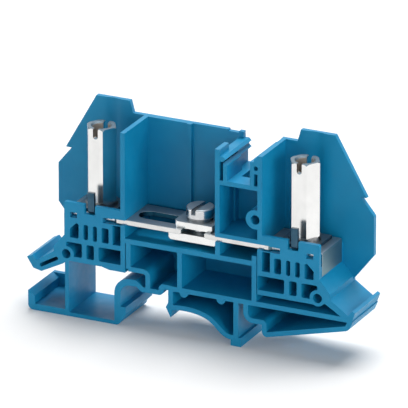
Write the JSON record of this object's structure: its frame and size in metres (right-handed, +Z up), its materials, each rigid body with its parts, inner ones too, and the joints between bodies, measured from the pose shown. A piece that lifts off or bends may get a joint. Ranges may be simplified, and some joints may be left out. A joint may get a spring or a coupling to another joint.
{
  "type": "test disconnect terminal block",
  "caption": "Rail-mounted test disconnect terminal block with stud terminals under tall sleeve nuts and a sliding, screw-clamped disconnect link.",
  "frame": {"origin": "middle of the mounting seat at the panel plane, half-way through the block's thickness", "axes": "+X along the block towards the marker tower's end, +Y from the open side to the closed back, +Z up from the panel"},
  "size_m": [0.0835, 0.014, 0.0505],
  "materials": {
    "blue_polyamide": "fine moulded, slight sheen",
    "tinned_copper": "tinned, bright",
    "nickel_brass": "nickel plated, bright",
    "zinc_steel": "zinc plated",
    "spring_steel": "zinc plated spring steel"
  },
  "bodies": {
    "block": {"housing": "blue_polyamide", "left_current_bar": "tinned_copper", "right_current_bar": "tinned_copper", "left_stud": "zinc_steel", "right_stud": "zinc_steel", "left_tab_washer": "zinc_steel", "right_tab_washer": "zinc_steel"},
    "link": {"link_top_plate": "nickel_brass", "link_nut_plate": "nickel_brass"},
    "link_washer": {"link_spring_washer": "spring_steel"},
    "link_screw": {"link_screw": "zinc_steel"},
    "left_washer": {"left_spring_washer": "spring_steel"},
    "left_nut": {"left_sleeve_nut": "nickel_brass"},
    "right_washer": {"right_spring_washer": "spring_steel"},
    "right_nut": {"right_sleeve_nut": "nickel_brass"}
  },
  "joints": [
    {"name": "link_slide", "type": "slide", "parent": "block", "child": "link", "axis": [1, 0, 0], "range_m": [-0.009, 0]},
    {"name": "link_screw_lift", "type": "slide", "parent": "link", "child": "link_washer", "axis": [0, 0, 1], "range_m": [0, 0.0014]},
    {"name": "link_screw_turn", "type": "hinge", "parent": "link_washer", "child": "link_screw", "pos_m": [-0.00035, -0.0011, 0.03], "axis": [0, 0, 1], "range_deg": [0, 720]},
    {"name": "left_nut_lift", "type": "slide", "parent": "block", "child": "left_washer", "axis": [0, 0, 1], "range_m": [0, 0.0021]},
    {"name": "left_nut_turn", "type": "hinge", "parent": "left_washer", "child": "left_nut", "pos_m": [-0.0258, -0.00065, 0.038], "axis": [0, 0, 1], "range_deg": [0, 1080]},
    {"name": "right_nut_lift", "type": "slide", "parent": "block", "child": "right_washer", "axis": [0, 0, 1], "range_m": [0, 0.0021]},
    {"name": "right_nut_turn", "type": "hinge", "parent": "right_washer", "child": "right_nut", "pos_m": [0.0258, -0.00065, 0.038], "axis": [0, 0, 1], "range_deg": [0, 1080]}
  ],
  "couplings": [
    {"joint": "link_screw_turn", "follows": "link_screw_lift", "rad_per_m": 8975.9},
    {"joint": "left_nut_turn", "follows": "left_nut_lift", "rad_per_m": 8975.9},
    {"joint": "right_nut_turn", "follows": "right_nut_lift", "rad_per_m": 8975.9}
  ]
}
